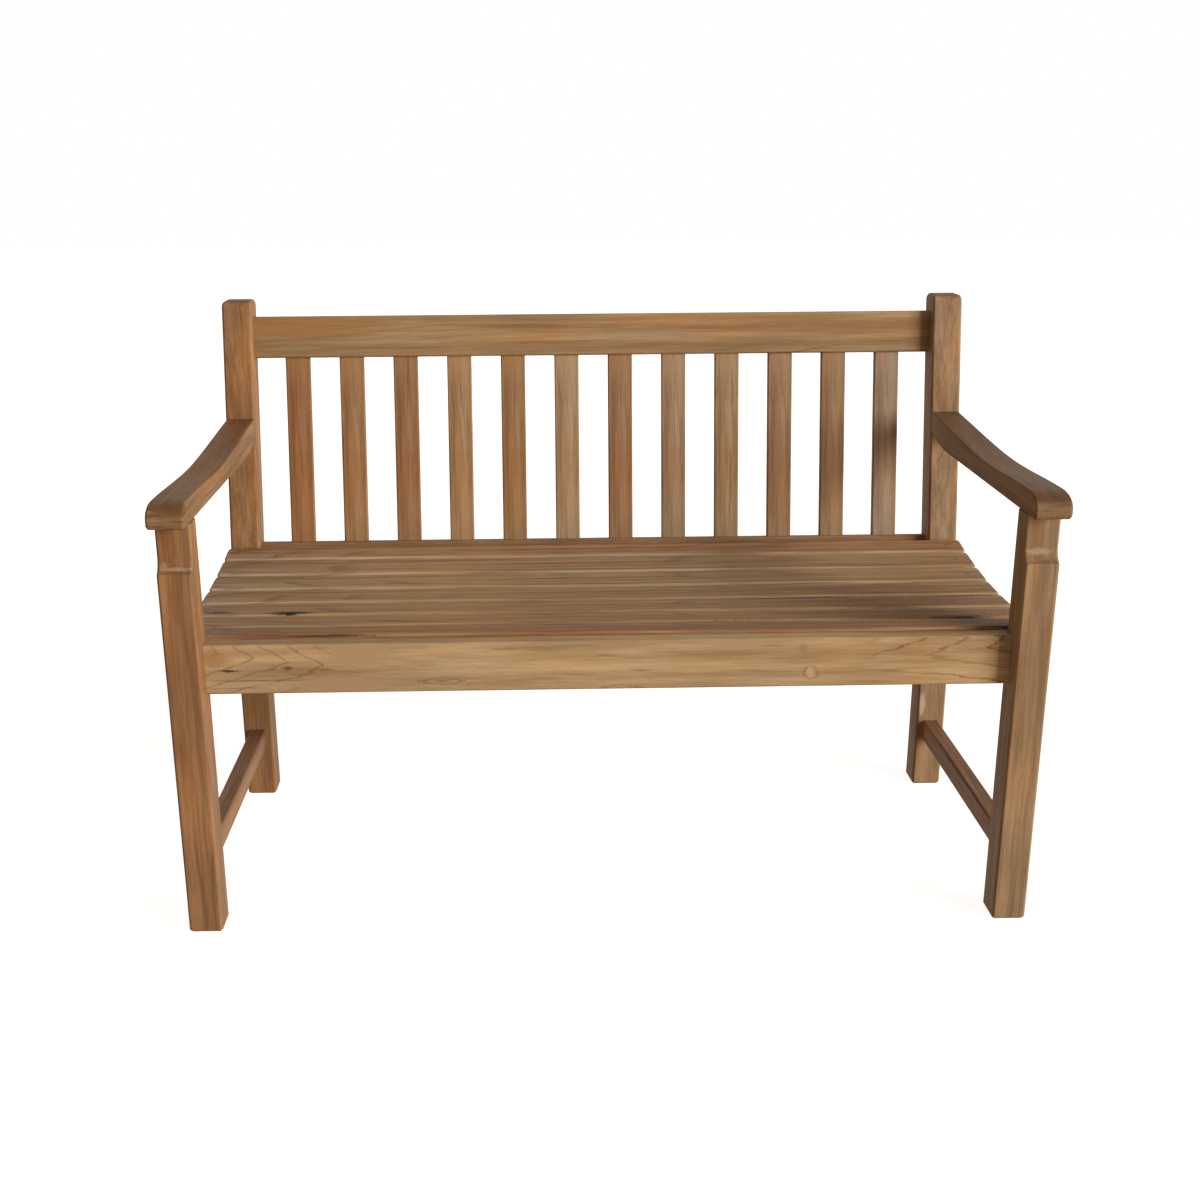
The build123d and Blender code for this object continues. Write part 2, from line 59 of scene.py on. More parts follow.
def add_node(tree, kind, sockets=(), **settings):
    """Adds a node. Its sockets, by order or by name, get values, or nodes and outputs to link to."""
    node = tree.nodes.new(kind)
    for name, value in settings.items():
        setattr(node, name, value)
    named = isinstance(sockets, dict)
    inputs = node.inputs if named else [socket for socket in node.inputs if socket.enabled]
    for key, value in sockets.items() if named else enumerate(sockets):
        if isinstance(value, bpy.types.Node):
            value = next(output for output in value.outputs if output.enabled)
        if isinstance(value, bpy.types.NodeSocket):
            tree.links.new(value, inputs[key])
        else:
            inputs[key].default_value = value
    return node


def sawn_teak():
    """Teak, sawn, planed and sanded, and left without oil or varnish to weather.

    It is dull, with brown rings that run as long arches and straight lines, darker streaks, short
    pores, and a grey bloom on what faces the sky. Place is in millimetres from the board's middle,
    x along the grain. The heart of the tree passes the board at Heart, leans to it by Lean, and
    bends by Bow, in millimetres at a metre from the middle. Ring is how far apart the rings are, and
    Late the share of a ring after which its wood darkens. Wander and Ripple bend the rings in slow
    and in short waves, and Pointed turns their arches from round to pointed. Plain is how far from
    the middle the board shows no rings. Stretch draws the patterns out along the grain. Figure,
    Streak, Hue, Patchy and Bloom are how strongly lines, streaks, red and green, weak rings and grey
    show. Top tints the wood where it faces up, and End is what is left of its colour where the
    board is cut square to its grain and drinks the weather.
    """
    group = bpy.data.node_groups.new("sawn_teak", "ShaderNodeTree")
    for name, kind, value in (
        ("Place", "Vector", (0.0, 0.0, 0.0)),
        ("Heart", "Vector", (0.0, -60.0, 90.0)),
        ("Lean", "Vector", (0.0, 0.02, 0.05)),
        ("Bow", "Vector", (0.0, 0.0, 0.0)),
        ("Wander", "Float", 15.0),
        ("Ripple", "Float", 3.0),
        ("Pointed", "Float", 0.0),
        ("Plain", "Float", 0.0),
        ("Stretch", "Float", 1.0),
        ("Ring", "Float", 7.0),
        ("Late", "Float", 0.5),
        ("Figure", "Float", 0.6),
        ("Streak", "Float", 1.6),
        ("Hue", "Float", 1.0),
        ("Patchy", "Float", 1.0),
        ("Bloom", "Float", 0.2),
        ("Wood", "Color", linear("#946E4B")),
        ("Top", "Color", (1.0, 1.0, 1.0, 1.0)),
        ("Grain", "Vector", (1.0, 0.0, 0.0)),
        ("End", "Color", (0.62, 0.57, 0.50, 1.0)),
    ):
        group.interface.new_socket(name, in_out="INPUT",
                                   socket_type="NodeSocket" + kind).default_value = value
    for name, kind in (("Colour", "Color"), ("Roughness", "Float"), ("Height", "Float")):
        group.interface.new_socket(name, in_out="OUTPUT", socket_type="NodeSocket" + kind)
    given = add_node(group, "NodeGroupInput").outputs
    place = given["Place"]

    # Each noise has cells of so many millimetres along the grain and across it, and a shift that
    # keeps it apart from the others. The pores and fibres are drawn three or four times coarser than
    # real ones, which wouldn't show
    shorter = add_node(group, "ShaderNodeMath", (1.0, given["Stretch"]), operation="DIVIDE")
    shorter = add_node(group, "ShaderNodeCombineXYZ", (shorter, 1.0, 1.0))
    drawn = add_node(group, "ShaderNodeVectorMath", (place, shorter), operation="MULTIPLY")
    noises = {}
    for name, along, across, detail, shift in (
        ("wander", 320, 110, 1, 0),
        ("ripple", 60, 9, 2, 3),
        ("fade", 150, 20, 1, 5),
        ("hue", 210, 38, 1, 17),
        ("broad", 260, 20, 2, 11),
        ("streak", 110, 5.0, 3, 23),
        ("fibre", 60, 1.5, 2, 37),
        ("pore", 17, 0.9, 1, 51),
        ("patch", 160, 24, 3, 71),
    ):
        cell = add_node(group, "ShaderNodeVectorMath",
                        (drawn, (1 / along, 1 / across, 1 / across), (shift, shift * 0.4, shift * 0.7)),
                        operation="MULTIPLY_ADD")
        noises[name] = add_node(group, "ShaderNodeTexNoise",
                                {"Vector": cell, "Scale": 1.0, "Detail": detail, "Roughness": 0.6})

    # Rings are counted by the way to the heart, square to the grain: straight for round arches, and
    # by its depth and a share of its width for pointed ones
    pointed_share = (0, 1, 0.2)
    full_swing, square_to_grain = (0, 2, 2), (0, 1, 1)
    along = add_node(group, "ShaderNodeSeparateXYZ", (place,))
    lean = add_node(group, "ShaderNodeVectorMath", {0: given["Lean"], "Scale": along}, operation="SCALE")
    metres = add_node(group, "ShaderNodeMath", (along, MM), operation="MULTIPLY")
    squared = add_node(group, "ShaderNodeMath", (metres, metres), operation="MULTIPLY")
    bow = add_node(group, "ShaderNodeVectorMath", {0: given["Bow"], "Scale": squared}, operation="SCALE")
    heart = add_node(group, "ShaderNodeVectorMath", (given["Heart"], lean), operation="ADD")
    heart = add_node(group, "ShaderNodeVectorMath", (heart, bow), operation="ADD")
    wander = add_node(group, "ShaderNodeVectorMath", (noises["wander"].outputs["Color"], (0.5, 0.5, 0.5)),
                      operation="SUBTRACT")
    wander = add_node(group, "ShaderNodeVectorMath", {0: wander, "Scale": given["Wander"]},
                      operation="SCALE")
    offset = add_node(group, "ShaderNodeVectorMath", (place, heart), operation="SUBTRACT")
    offset = add_node(group, "ShaderNodeVectorMath", (wander, full_swing, offset),
                      operation="MULTIPLY_ADD")
    offset = add_node(group, "ShaderNodeVectorMath", (offset, square_to_grain), operation="MULTIPLY")
    reach = add_node(group, "ShaderNodeVectorMath", (offset,), operation="LENGTH")
    arms = add_node(group, "ShaderNodeVectorMath", (offset,), operation="ABSOLUTE")
    arms = add_node(group, "ShaderNodeVectorMath", (arms, pointed_share),
                    operation="DOT_PRODUCT").outputs["Value"]
    reach = add_node(group, "ShaderNodeMix", (given["Pointed"], reach, arms), data_type="FLOAT")
    reach = add_node(group, "ShaderNodeMath", (noises["ripple"], given["Ripple"], reach),
                     operation="MULTIPLY_ADD")

    # Within a ring the wood darkens slowly, then ends in a thin line. Some rings are weak all round,
    # and every ring fades in places
    line_from, line_to = 0.93, 0.94
    weakest = 0.7
    faded_below, whole_above = 0.4, 0.65
    still_plain, all_shown, plain_rings = -30.0, 10.0, 0.12
    rings = add_node(group, "ShaderNodeMath", (reach, given["Ring"]), operation="DIVIDE")
    step = add_node(group, "ShaderNodeMath", (rings,), operation="FRACT")
    rise = add_node(group, "ShaderNodeMapRange",
                    {"Value": step, "From Min": given["Late"], "From Max": line_from},
                    interpolation_type="SMOOTHSTEP")
    fall = add_node(group, "ShaderNodeMapRange", {"Value": step, "From Min": 1.0, "From Max": line_to},
                    interpolation_type="SMOOTHSTEP")
    late = add_node(group, "ShaderNodeMath", (rise, fall), operation="MULTIPLY")
    number = add_node(group, "ShaderNodeMath", (rings,), operation="FLOOR")
    year = add_node(group, "ShaderNodeTexWhiteNoise", {"W": number}, noise_dimensions="1D")
    weak = add_node(group, "ShaderNodeMath", (year, given["Patchy"]), operation="MULTIPLY")
    weak = add_node(group, "ShaderNodeMath", (weak, -weakest, 1.0), operation="MULTIPLY_ADD")
    late = add_node(group, "ShaderNodeMath", (late, weak), operation="MULTIPLY")
    even = add_node(group, "ShaderNodeMath", (1.0, given["Patchy"]), operation="SUBTRACT")
    fade = add_node(group, "ShaderNodeMapRange",
                    {"Value": noises["fade"], "From Min": faded_below, "From Max": whole_above,
                     "To Min": even}, interpolation_type="SMOOTHSTEP")
    late = add_node(group, "ShaderNodeMath", (late, fade), operation="MULTIPLY")
    from_middle = add_node(group, "ShaderNodeMath", (along,), operation="ABSOLUTE")
    from_middle = add_node(group, "ShaderNodeMath", (from_middle, given["Plain"]), operation="SUBTRACT")
    shown = add_node(group, "ShaderNodeMapRange",
                     {"Value": from_middle, "From Min": still_plain, "From Max": all_shown,
                      "To Min": plain_rings}, interpolation_type="SMOOTHSTEP")
    late = add_node(group, "ShaderNodeMath", (late, shown), operation="MULTIPLY")

    # Broad bands, streaks and fibres tone the wood, and it leans to red here and to green there
    red_side, green_side = (1.05, 0.98, 0.88, 1.0), (0.95, 1.02, 1.10, 1.0)
    pale_band, dark_band = (1.28, 1.30, 1.30, 1.0), (0.72, 0.66, 0.58, 1.0)
    ring_line = (0.34, 0.27, 0.20, 1.0)
    band_strength, band_shift, fibre_strength, hue_strength = 2.4, -0.7, 0.9, 3.0
    steep, level = 0.35, 0.9
    pore_edge, pore_middle, pore_darkness = 0.6, 0.74, 0.3
    tone = add_node(group, "ShaderNodeMath", (noises["broad"], band_strength, band_shift),
                    operation="MULTIPLY_ADD")
    streak = add_node(group, "ShaderNodeMath", (noises["streak"], 0.5), operation="SUBTRACT")
    tone = add_node(group, "ShaderNodeMath", (streak, given["Streak"], tone), operation="MULTIPLY_ADD")
    fibre = add_node(group, "ShaderNodeMath", (noises["fibre"], 0.5), operation="SUBTRACT")
    tone = add_node(group, "ShaderNodeMath", (fibre, fibre_strength, tone), operation="MULTIPLY_ADD",
                    use_clamp=True)
    redder = add_node(group, "ShaderNodeMix", (1.0, given["Wood"], red_side), data_type="RGBA",
                      blend_type="MULTIPLY")
    greener = add_node(group, "ShaderNodeMix", (1.0, given["Wood"], green_side), data_type="RGBA",
                       blend_type="MULTIPLY")
    side = add_node(group, "ShaderNodeMath", (noises["hue"], 0.5), operation="SUBTRACT")
    side = add_node(group, "ShaderNodeMath", (side, given["Hue"]), operation="MULTIPLY")
    side = add_node(group, "ShaderNodeMath", (side, hue_strength, 0.5), operation="MULTIPLY_ADD",
                    use_clamp=True)
    wood = add_node(group, "ShaderNodeMix", (side, redder, greener), data_type="RGBA")
    normal = add_node(group, "ShaderNodeNewGeometry").outputs["Normal"]
    facing = add_node(group, "ShaderNodeSeparateXYZ", (normal,)).outputs["Z"]
    sky = add_node(group, "ShaderNodeMapRange", {"Value": facing, "From Min": steep, "From Max": level},
                   interpolation_type="SMOOTHSTEP")
    tinted_top = add_node(group, "ShaderNodeMix", (1.0, wood, given["Top"]), data_type="RGBA",
                         blend_type="MULTIPLY")
    wood = add_node(group, "ShaderNodeMix", (sky, wood, tinted_top), data_type="RGBA")
    pale = add_node(group, "ShaderNodeMix", (1.0, wood, pale_band), data_type="RGBA",
                    blend_type="MULTIPLY")
    dark = add_node(group, "ShaderNodeMix", (1.0, wood, dark_band), data_type="RGBA",
                    blend_type="MULTIPLY")
    deep = add_node(group, "ShaderNodeMix", (1.0, wood, ring_line), data_type="RGBA",
                    blend_type="MULTIPLY")
    colour = add_node(group, "ShaderNodeMix", (tone, pale, dark), data_type="RGBA")
    line = add_node(group, "ShaderNodeMath", (late, given["Figure"]), operation="MULTIPLY",
                    use_clamp=True)
    colour = add_node(group, "ShaderNodeMix", (line, colour, deep), data_type="RGBA")
    pore = add_node(group, "ShaderNodeMapRange",
                    {"Value": noises["pore"], "From Min": pore_edge, "From Max": pore_middle},
                    interpolation_type="SMOOTHSTEP")
    pore_share = add_node(group, "ShaderNodeMath", (pore, pore_darkness), operation="MULTIPLY")
    colour = add_node(group, "ShaderNodeMix", (pore_share, colour, deep), data_type="RGBA")

    # Wood cut square to its grain hides its figure
    end_from, end_full, hidden_figure = 0.6, 0.95, 0.65
    end = add_node(group, "ShaderNodeVectorMath", (normal, given["Grain"]),
                   operation="DOT_PRODUCT").outputs["Value"]
    end = add_node(group, "ShaderNodeMath", (end,), operation="ABSOLUTE")
    end = add_node(group, "ShaderNodeMapRange",
                   {"Value": end, "From Min": end_from, "From Max": end_full},
                   interpolation_type="SMOOTHSTEP")
    cut = add_node(group, "ShaderNodeMix", (hidden_figure, colour, given["Wood"]), data_type="RGBA")
    cut = add_node(group, "ShaderNodeMix", (1.0, cut, given["End"]), data_type="RGBA",
                   blend_type="MULTIPLY")
    colour = add_node(group, "ShaderNodeMix", (end, colour, cut), data_type="RGBA")

    # Grey bloom, in patches, on what faces the sky
    patch_strength, patch_least = 0.9, 0.4
    bloom_saturation, bloom_value = 0.65, 0.95
    sky = add_node(group, "ShaderNodeMath", (sky, given["Bloom"]), operation="MULTIPLY")
    patch = add_node(group, "ShaderNodeMath", (noises["patch"], patch_strength, patch_least),
                     operation="MULTIPLY_ADD", use_clamp=True)
    sky = add_node(group, "ShaderNodeMath", (sky, patch), operation="MULTIPLY")
    grey = add_node(group, "ShaderNodeHueSaturation",
                    {"Saturation": bloom_saturation, "Value": bloom_value, "Color": colour})
    colour = add_node(group, "ShaderNodeMix", (sky, colour, grey), data_type="RGBA")

    # Fibres are rough, and with the pores they lie a little below the late wood's lines
    least_rough, fibre_rough = 0.5, 0.22
    fibre_depth, pore_depth, line_height = 0.16, 0.22, 0.1
    rough = add_node(group, "ShaderNodeMath", (noises["fibre"], fibre_rough, least_rough),
                     operation="MULTIPLY_ADD")
    height = add_node(group, "ShaderNodeMath", (noises["fibre"], -fibre_depth), operation="MULTIPLY")
    height = add_node(group, "ShaderNodeMath", (pore, -pore_depth, height), operation="MULTIPLY_ADD")
    height = add_node(group, "ShaderNodeMath", (late, line_height, height), operation="MULTIPLY_ADD")
    add_node(group, "NodeGroupOutput", {"Colour": colour, "Roughness": rough, "Height": height})
    return group


def knot_split_or_painted_shade():
    """A knot, split, stain or painted shade: a lens in the wood, filled or only its rim, at a place in
    millimetres.
    """
    group = bpy.data.node_groups.new("knot_split_or_painted_shade", "ShaderNodeTree")
    for name, kind, value in (
        ("Colour", "Color", (1.0, 1.0, 1.0, 1.0)),
        ("Height", "Float", 0.0),
        ("Place", "Vector", (0.0, 0.0, 0.0)),
        ("At", "Vector", (0.0, 0.0, 0.0)),
        ("Reach", "Vector", (10.0, 10.0, 10.0)),
        ("Bend", "Float", 0.0),
        ("Rim", "Float", 0.0),
        ("Share", "Float", 0.5),
        ("Tint", "Color", (0.1, 0.05, 0.03, 1.0)),
    ):
        group.interface.new_socket(name, in_out="INPUT",
                                   socket_type="NodeSocket" + kind).default_value = value
    group.interface.new_socket("Colour", in_out="OUTPUT", socket_type="NodeSocketColor")
    group.interface.new_socket("Height", in_out="OUTPUT", socket_type="NodeSocketFloat")
    given = add_node(group, "NodeGroupInput").outputs

    # The lens is bent a little, and its edge is uneven and soft. A rim is a band near that edge. The
    # bends and the uneven places have so many cells to a millimetre
    bend_cells, edge_cells, edge_strength = 0.03, 0.2, 0.9
    rim_place, rim_half, rim_core = 0.8, 0.28, 0.04
    outside, inside = 1.1, 0.35
    mark_depth = 0.5
    sway = add_node(group, "ShaderNodeTexNoise",
                    {"Vector": given["Place"], "Scale": bend_cells, "Detail": 2.0})
    sway = add_node(group, "ShaderNodeMath", (sway, 0.5), operation="SUBTRACT")
    sway = add_node(group, "ShaderNodeMath", (sway, given["Bend"]), operation="MULTIPLY")
    offset = add_node(group, "ShaderNodeVectorMath", (given["Place"], given["At"]), operation="SUBTRACT")
    offset = add_node(group, "ShaderNodeVectorMath", (offset, sway), operation="ADD")
    share = add_node(group, "ShaderNodeVectorMath", (offset, given["Reach"]), operation="DIVIDE")
    share = add_node(group, "ShaderNodeVectorMath", (share,), operation="ABSOLUTE")
    share = add_node(group, "ShaderNodeSeparateXYZ", (share,))
    deep = add_node(group, "ShaderNodeMath", (share.outputs["Y"], 2.0), operation="POWER")
    tall = add_node(group, "ShaderNodeMath", (share.outputs["Z"], 2.0), operation="POWER")
    share = add_node(group, "ShaderNodeMath", (share.outputs["X"], deep), operation="ADD")
    share = add_node(group, "ShaderNodeMath", (share, tall), operation="ADD")
    rough_edge = add_node(group, "ShaderNodeTexNoise",
                          {"Vector": given["Place"], "Scale": edge_cells, "Detail": 3.0})
    rough_edge = add_node(group, "ShaderNodeMath", (rough_edge, 0.5), operation="SUBTRACT")
    share = add_node(group, "ShaderNodeMath", (rough_edge, edge_strength, share),
                     operation="MULTIPLY_ADD")
    filled = add_node(group, "ShaderNodeMapRange",
                      {"Value": share, "From Min": outside, "From Max": inside},
                      interpolation_type="SMOOTHSTEP")
    from_rim = add_node(group, "ShaderNodeMath", (share, rim_place), operation="SUBTRACT")
    from_rim = add_node(group, "ShaderNodeMath", (from_rim,), operation="ABSOLUTE")
    rim = add_node(group, "ShaderNodeMapRange",
                   {"Value": from_rim, "From Min": rim_half, "From Max": rim_core},
                   interpolation_type="SMOOTHSTEP")
    mask = add_node(group, "ShaderNodeMix", (given["Rim"], filled, rim), data_type="FLOAT")
    mask = add_node(group, "ShaderNodeMath", (mask, given["Share"]), operation="MULTIPLY")
    colour = add_node(group, "ShaderNodeMix", (mask, given["Colour"], given["Tint"]), data_type="RGBA")
    height = add_node(group, "ShaderNodeMath", (mask, -mark_depth, given["Height"]),
                      operation="MULTIPLY_ADD")
    add_node(group, "NodeGroupOutput", {"Colour": colour, "Height": height})
    return group


teak_group = sawn_teak()
mark_group = knot_split_or_painted_shade()


def teak(name, turn, marks=(), **looks):
    """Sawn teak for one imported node, its grain centred on the node and turned along the board.

    Each mark is its place on the bench and its half sizes, both in millimetres, its bend, 1 for a
    rim only, its share and its tint.
    """
    material = bpy.data.materials.new("sawn_teak_" + name)
    material.use_nodes = True
    tree = material.node_tree
    tree.nodes.clear()
    low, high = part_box(name)
    spot = add_node(tree, "ShaderNodeTexCoord").outputs["Object"]
    centred = add_node(tree, "ShaderNodeVectorMath", (spot, (low + high) / 2), operation="SUBTRACT")
    turned = add_node(tree, "ShaderNodeMapping", {"Vector": centred, "Rotation": turn})
    place = add_node(tree, "ShaderNodeVectorMath", {0: turned, "Scale": 1 / MM}, operation="SCALE")
    wood = tree.nodes.new("ShaderNodeGroup")
    wood.node_tree = teak_group
    tree.links.new(place.outputs[0], wood.inputs["Place"])
    wood.inputs["Grain"].default_value = Euler(turn).to_matrix()[0]
    for look, value in looks.items():
        wood.inputs[look.capitalize()].default_value = linear(value) if isinstance(value, str) else value
    marked = wood.outputs
    bench_place = add_node(tree, "ShaderNodeVectorMath", {0: spot, "Scale": 1 / MM}, operation="SCALE")
    for at, reach, bend, rim, share, tint in marks:
        mark = tree.nodes.new("ShaderNodeGroup")
        mark.node_tree = mark_group
        tree.links.new(marked["Colour"], mark.inputs["Colour"])
        tree.links.new(marked["Height"], mark.inputs["Height"])
        tree.links.new(bench_place.outputs[0], mark.inputs["Place"])
        mark.inputs["At"].default_value = at
        mark.inputs["Reach"].default_value = reach
        mark.inputs["Bend"].default_value = bend
        mark.inputs["Rim"].default_value = rim
        mark.inputs["Share"].default_value = share
        mark.inputs["Tint"].default_value = linear(tint)
        marked = mark.outputs

    # Edges are softened, and rubbed paler than the faces where the softened face turns away
    soft_edge = 2 * MM
    turned_from, turned_far = 0.995, 0.92
    rubbed_paler, rubbed_most = (1.22, 1.28, 1.38, 1.0), 0.5
    soft = add_node(tree, "ShaderNodeBevel", {"Radius": soft_edge}, samples=4)
    flat = add_node(tree, "ShaderNodeNewGeometry").outputs["Normal"]
    arris = add_node(tree, "ShaderNodeVectorMath", (soft, flat), operation="DOT_PRODUCT").outputs["Value"]
    arris = add_node(tree, "ShaderNodeMapRange",
                     {"Value": arris, "From Min": turned_from, "From Max": turned_far,
                      "To Max": rubbed_most})
    rubbed = add_node(tree, "ShaderNodeMix", (1.0, marked["Colour"], rubbed_paler),
                      data_type="RGBA", blend_type="MULTIPLY")
    colour = add_node(tree, "ShaderNodeMix", (arris, marked["Colour"], rubbed), data_type="RGBA")
    bump = add_node(tree, "ShaderNodeBump",
                    {"Strength": 0.6, "Distance": MM, "Height": marked["Height"], "Normal": soft})
    shader = add_node(tree, "ShaderNodeBsdfPrincipled", {
        "Base Color": colour,
        "Roughness": wood.outputs["Roughness"],
        "Normal": bump,
        "IOR": 1.5,
        "Specular IOR Level": 0.2,
    })
    add_node(tree, "ShaderNodeOutputMaterial", {"Surface": shader})
    return material


def dress(name, material):
    """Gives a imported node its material."""
    mesh = nodes[name].data
    mesh.materials.clear()
    mesh.materials.append(material)


left_leg_scuffs = (
    ((-606, -298, 571), (34, 14, 3.5), 4, 0, 0.4, "#C9AD8B"),
    ((-625, -298, 577), (14, 14, 8), 4, 0, 0.25, "#C9AD8B"),
)
right_leg_scuffs = (
    ((604, -296, 581), (36, 14, 7), 3, 0, 0.4, "#BFA484"),
    ((622, -299, 576), (12, 9, 2), 2, 0, 0.6, "#6A5038"),
)
dress("left_front_leg",
      teak("left_front_leg", GRAIN_ALONG_Z, marks=left_leg_scuffs, heart=(0, 70, -38),
           lean=(0, 0.02, 0.035), ring=8.0, late=0.7, figure=0.5, streak=1.3, hue=1.3, wood="#946843"))
dress("right_front_leg",
      teak("right_front_leg", GRAIN_ALONG_Z, marks=right_leg_scuffs, heart=(0, -80, 60),
           lean=(0, 0.02, -0.04), ring=9.0, late=0.7, figure=0.5, streak=1.1, hue=1.3, wood="#91704F"))

# Back posts, each sawn in one piece from a wide teak plank, upright to the seat and raked above it,
# their tops pillowed over against the rain. The right one is scuffed low on its inner edge.
shin_scuff = ((593, 188, 158), (7, 12, 28), 5, 0, 0.6, "#CDB395")
post_looks = (
    ("left_back_post", (0, -60, 44), 7.0, "#956943", ()),
    ("right_back_post", (0, 66, 52), 8.0, "#937151", (shin_scuff,)),
)
for name, heart, ring, wood, marks in post_looks:
    dress(name, teak(name, GRAIN_ALONG_Z, marks=marks, heart=heart, lean=(0, 0.03, 0.03), ring=ring,
                     late=0.7, figure=0.6, streak=1.5, hue=1.4, wood=wood))

# Top rail and lower back rail, of 25 mm teak, let in between the posts and pegged from behind. The
# top one shows warm amber bands, the lower one lies low behind the seat and is plain.
amber_bands = (
    ((-500, 285, 833), (260, 40, 22), 9, 0, 0.4, "#A3692F"),
    ((150, 287, 842), (320, 40, 10), 9, 0, 0.35, "#A3692F"),
)
dress("top_rail",
      teak("top_rail", GRAIN_ALONG_X, marks=amber_bands, heart=(0, 20, -70), lean=(0, 0.004, 0.06),
           ring=9.0, late=0.74, figure=0.5, stretch=1.6, streak=1.3, hue=1.4, wood="#9B7751"))
dress("lower_back_rail",
      teak("lower_back_rail", GRAIN_ALONG_X, heart=(0, 40, -60), lean=(0, 0, 0.05), ring=9.0, figure=0.3,
           streak=0.9, wood="#8D6847"))

# Back slats, twelve thin teak boards of one size, stub-tenoned between the two rails. Each comes from
# another part of the plank, so no two show the same grain or colour, and the third and ninth have
# dark mineral lines.
RAKE = radians(10.4)
GRAIN_UP_THE_RAKE = (RAKE, pi / 2, 0)
mineral_lines = {
    3: (
        ((-322, 284, 757), (3.5, 40, 70), 8, 0, 0.4, "#5E3E24"),
        ((-318, 250, 590), (1.5, 40, 80), 8, 0, 0.4, "#5E3E24"),
    ),
    9: (
        ((243, 274, 712), (2, 40, 66), 8, 0, 0.55, "#5E432A"),
        ((239, 246, 560), (2, 40, 90), 8, 0, 0.55, "#5E432A"),
    ),
}
slat_woods = ("#92643F", "#986E48", "#916745", "#9E7752", "#946C46", "#A17F5E",
              "#926A48", "#99795A", "#987755", "#926D4D", "#8F6B4A", "#91745B")
for index, wood in enumerate(slat_woods):
    name = f"back_slat_{index + 1:02}"
    way = 1 if index % 2 else -1
    heart = (0, way * (20 + 9 * (index % 5)), 28 + 11 * (index % 4))
    dress(name, teak(name, GRAIN_UP_THE_RAKE, marks=mineral_lines.get(index + 1, ()), heart=heart,
                     lean=(0, 0.01 * way, 0.03), ring=7.0 + index % 3, late=0.76, figure=0.75, streak=1.6,
                     hue=1.2, wood=wood))

# Front apron, the widest teak board and the palest, flat-sawn: the heart bows towards its face at both
# ends, so the rings come out there as pointed arches, and its middle is plain but for small knots
# and pale patches. Its top at the right end has painted shade beside the right front leg.
apron_marks = (
    ((-362, -276, 440), (66, 9, 24), 2, 0, 1.0, "#AD8A62"),
    ((-388, -276, 388), (120, 9, 16), 2, 0, 0.9, "#A98660"),
    ((-572, -276, 430), (34, 9, 16), 2, 0, 0.85, "#A5794F"),
    ((-500, -276, 397), (90, 9, 1.6), 5, 0, 0.55, "#7A5636"),
    ((-540, -276, 385), (60, 9, 1.4), 5, 0, 0.5, "#7A5636"),
    ((-551, -276, 412), (20, 9, 2.4), 3, 0, 0.9, "#3A2414"),
    ((-466, -276, 415), (10, 9, 4), 2, 0, 0.7, "#4A3424"),
    ((-410, -276, 412), (16, 9, 3), 2, 0, 0.4, "#5E452B"),
    ((-243, -276, 392), (34, 9, 6), 1, 1, 0.55, "#75512F"),
    ((-243, -276, 392), (12, 9, 2.5), 1, 0, 0.4, "#75512F"),
    ((293, -276, 397), (14, 9, 13), 4, 1, 0.45, "#80603C"),
    ((293, -276, 397), (9, 9, 8), 4, 0, 0.5, "#C3A585"),
    ((281, -276, 436), (12, 9, 8), 4, 0, 0.35, "#80603C"),
    ((1, -276, 428), (32, 9, 2.2), 8, 0, 0.5, "#7A5636"),
    ((45, -276, 405), (22, 9, 2.2), 6, 0, 0.5, "#7A5636"),
    ((16, -276, 377), (34, 9, 7), 4, 1, 0.5, "#7A5636"),
    ((-151, -276, 439), (30, 9, 2), 6, 0, 0.4, "#7A5636"),
    ((240, -276, 440), (26, 9, 1.8), 8, 0, 0.5, "#7A5636"),
    # Painted shade on the apron's top at its right end, beside the right front leg
    ((604, -262, 451), (40, 13, 3), 0, 0, 0.8, "#2A1006"),
)
dress("front_apron",
      teak("front_apron", GRAIN_ALONG_X, marks=apron_marks, heart=(0, 65.6, -19),
           lean=(0, 0.0278, -0.004), bow=(0, -90.9, 134), wander=3.0, ripple=3.0, pointed=0.85,
           plain=395.0, patchy=0.4, ring=5.3, late=0.8, figure=0.9, streak=0.6, hue=0.6, bloom=0.1,
           wood="#AF8C65"))

# Seat rails at the sides and the bearer in the middle, of 25 mm teak, band-sawn on top to the dish
# of the seat and tenoned into legs, posts, apron and back rail. The slats are screwed down to them.
for name in ("left_seat_rail", "right_seat_rail", "centre_seat_bearer"):
    dress(name, teak(name, GRAIN_ALONG_Y, heart=(0, 60, 40), ring=8.0, figure=0.4, wood="#98724E"))
